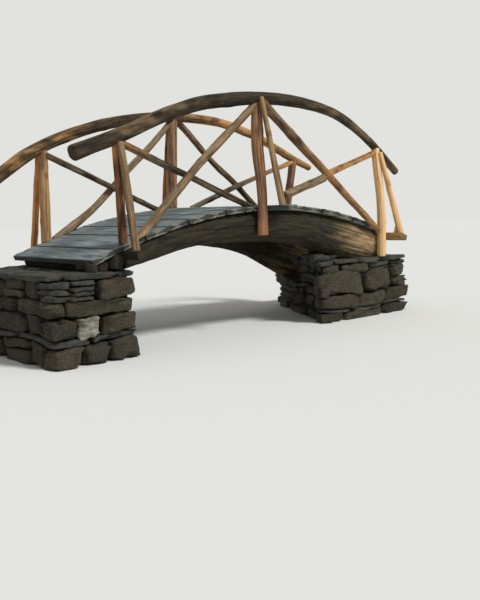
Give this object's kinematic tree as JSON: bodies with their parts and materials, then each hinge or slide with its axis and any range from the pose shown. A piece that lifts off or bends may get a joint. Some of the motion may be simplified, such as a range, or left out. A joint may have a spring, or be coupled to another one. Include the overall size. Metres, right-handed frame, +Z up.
{
  "type": "rustic log footbridge",
  "caption": "Small arched log footbridge on two dry-stone abutments, with a board deck and braced handrails of round logs.",
  "frame": {"origin": "ground level under the middle of the bounding box", "axes": "+X along the bridge, +Y across it from the near side to the far side, +Z up"},
  "size_m": [4.8, 2.12, 2.3744],
  "materials": {
    "stone": "matte",
    "girder_wood": "matte",
    "deck_wood": "matte",
    "rail_wood": "matte",
    "post_wood": "matte",
    "pole_wood": "matte",
    "outrigger_wood": "matte"
  },
  "bodies": {
    "root": {"abutment_left": "stone", "abutment_right": "stone", "brace_far_left": "post_wood", "brace_far_middle": "post_wood", "brace_far_right": "post_wood", "brace_near_left": "post_wood", "brace_near_middle": "post_wood", "brace_near_right": "post_wood", "deck_board_01": "deck_wood", "deck_board_02": "deck_wood", "deck_board_03": "deck_wood", "deck_board_04": "deck_wood", "deck_board_05": "deck_wood", "deck_board_06": "deck_wood", "deck_board_07": "deck_wood", "deck_board_08": "deck_wood", "deck_board_10": "deck_wood", "deck_board_11": "deck_wood", "deck_board_12": "deck_wood", "deck_board_13": "deck_wood", "deck_board_14": "deck_wood", "deck_board_15": "deck_wood", "deck_board_16": "deck_wood", "diagonal_far_1": "pole_wood", "diagonal_far_2": "pole_wood", "diagonal_far_3": "pole_wood", "diagonal_far_4": "pole_wood", "diagonal_near_1": "pole_wood", "diagonal_near_2": "pole_wood", "diagonal_near_3": "pole_wood", "diagonal_near_4": "pole_wood", "diagonal_near_5": "pole_wood", "girder_far": "girder_wood", "girder_near": "girder_wood", "handrail_far": "rail_wood", "handrail_near": "rail_wood", "outrigger_left": "outrigger_wood", "outrigger_middle": "outrigger_wood", "outrigger_right": "outrigger_wood", "post_far_left": "post_wood", "post_far_middle": "post_wood", "post_far_right": "post_wood", "post_near_left": "post_wood", "post_near_middle": "post_wood", "post_near_right": "post_wood", "sill_log": "girder_wood", "wedge_right": "post_wood"}
  },
  "joints": []
}
